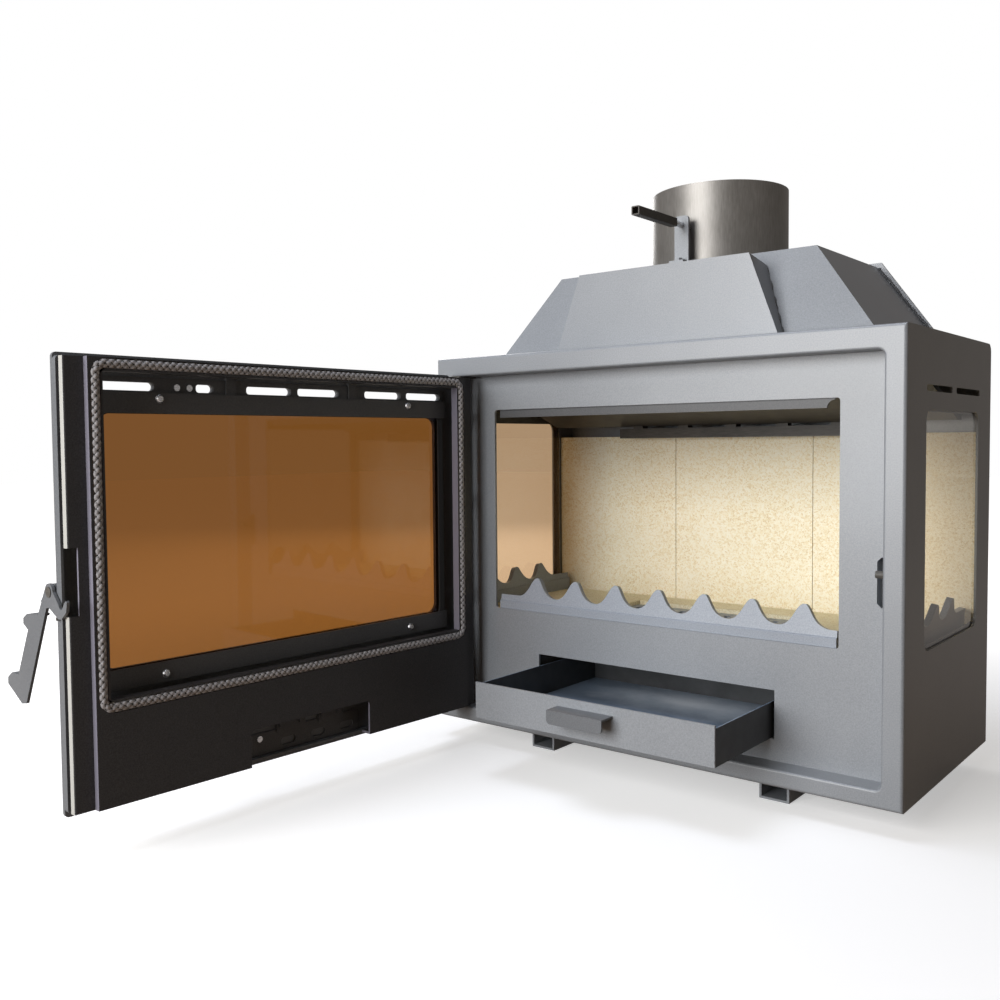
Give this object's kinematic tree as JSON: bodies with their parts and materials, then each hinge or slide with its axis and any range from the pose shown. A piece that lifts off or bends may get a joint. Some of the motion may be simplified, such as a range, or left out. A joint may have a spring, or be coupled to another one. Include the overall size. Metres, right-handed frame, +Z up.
{
  "type": "fireplace insert",
  "caption": "Steel fireplace insert: open side-hinged glazed door, side windows, tapered hood with round flue collar, damper rod, toothed log guard, pulled-out ash drawer on channel feet.",
  "frame": {"origin": "middle of the front frame's lower edge: on the casing's middle plane, at its front face, level with the casing's underside; the foot rails reach 32 mm below it", "axes": "+X to the right of someone facing the door, +Y from the door towards the back, +Z up along the flue"},
  "size_m": [0.827, 1.009, 0.832],
  "materials": {
    "grey_paint": "matt textured stove paint",
    "black_paint": "matt black stove paint",
    "dark_steel": "dull mill finish",
    "bright_steel": "bright drawn steel",
    "zinc_sheet": "zinc-plated sheet",
    "cast_iron": "painted casting, slightly rough",
    "vermiculite": "pressed vermiculite board, speckled",
    "firebrick": "dry unglazed firebrick",
    "rope_fibre": "braided glass-fibre rope",
    "clear_glass": "clear ceramic glass",
    "tinted_glass": "faintly amber ceramic glass"
  },
  "bodies": {
    "casing": {"front_frame": "grey_paint", "front_plate": "grey_paint", "side_panel_left": "grey_paint", "side_panel_right": "grey_paint", "back_panel": "grey_paint", "top_panel": "grey_paint", "bottom_panel": "grey_paint", "foot_rail_left": "grey_paint", "foot_rail_right": "grey_paint", "hood_shell": "grey_paint", "hood_front_box": "grey_paint", "hood_back_plate": "grey_paint", "flue_collar": "dark_steel", "damper_bracket": "grey_paint", "damper_bracket_bolt": "bright_steel", "side_glass_left": "clear_glass", "side_glass_right": "clear_glass", "side_glass_retainers": "dark_steel", "side_retainer_screws": "bright_steel", "back_brick_left": "vermiculite", "back_brick_centre": "vermiculite", "back_brick_right": "vermiculite", "hearth_brick_left": "firebrick", "hearth_brick_right": "firebrick", "hearth_bricks_middle": "firebrick", "fire_grate": "cast_iron", "firebox_floor": "dark_steel", "ash_bay": "dark_steel", "baffle_plate": "dark_steel", "baffle_ledge": "dark_steel", "baffle_brackets": "dark_steel", "air_wash_deflector": "grey_paint", "log_guard_front": "cast_iron", "log_guard_left": "cast_iron", "log_guard_right": "cast_iron", "keeper_pin": "bright_steel", "hinge_pins": "dark_steel"},
    "door": {"door_fascia": "grey_paint", "door_inner_frame": "black_paint", "door_glass": "tinted_glass", "glass_gasket": "rope_fibre", "glass_retainer_top": "black_paint", "glass_retainer_bottom": "black_paint", "glass_retainer_screws": "dark_steel", "door_rope_gasket": "rope_fibre", "handle_lug": "grey_paint", "handle_pivot_pin": "dark_steel", "handle_stop": "dark_steel", "slider_guides": "black_paint"},
    "upper_slider": {"upper_air_slider": "black_paint", "upper_slider_knob": "bright_steel"},
    "lower_slider": {"lower_air_slider": "black_paint", "lower_slider_knob": "bright_steel"},
    "handle": {"handle_lever": "grey_paint"},
    "damper": {"damper_disc": "dark_steel", "damper_rod": "bright_steel", "damper_sleeve": "bright_steel"},
    "drawer": {"drawer_tray": "zinc_sheet", "drawer_front": "zinc_sheet", "drawer_pull": "zinc_sheet"}
  },
  "joints": [
    {"name": "door_hinge", "type": "hinge", "parent": "casing", "child": "door", "pos_m": [-0.314, 0.001, 0.277], "axis": [0, 0, -1], "range_deg": [-92.8, 22]},
    {"name": "handle_pivot", "type": "hinge", "parent": "door", "child": "handle", "pos_m": [-0.36113, -0.63521, 0.27], "axis": [-0.0489, -0.9988, 0], "range_deg": [0, 26.5]},
    {"name": "upper_air_slide", "type": "slide", "parent": "door", "child": "upper_slider", "axis": [-0.0489, -0.9988, 0], "range_m": [-0.03, 0.014]},
    {"name": "lower_air_slide", "type": "slide", "parent": "door", "child": "lower_slider", "axis": [-0.0489, -0.9988, 0], "range_m": [0, 0.025]},
    {"name": "drawer_slide", "type": "slide", "parent": "casing", "child": "drawer", "axis": [0, -1, 0], "range_m": [-0.1815, 0.0434]},
    {"name": "damper_turn", "type": "hinge", "parent": "casing", "child": "damper", "pos_m": [0, 0.2535, 0.738], "axis": [0, 1, 0], "range_deg": [0, 90]}
  ],
  "couplings": [
    {"joint": "drawer_slide", "follows": "door_hinge", "m_per_rad": 0.11175}
  ]
}
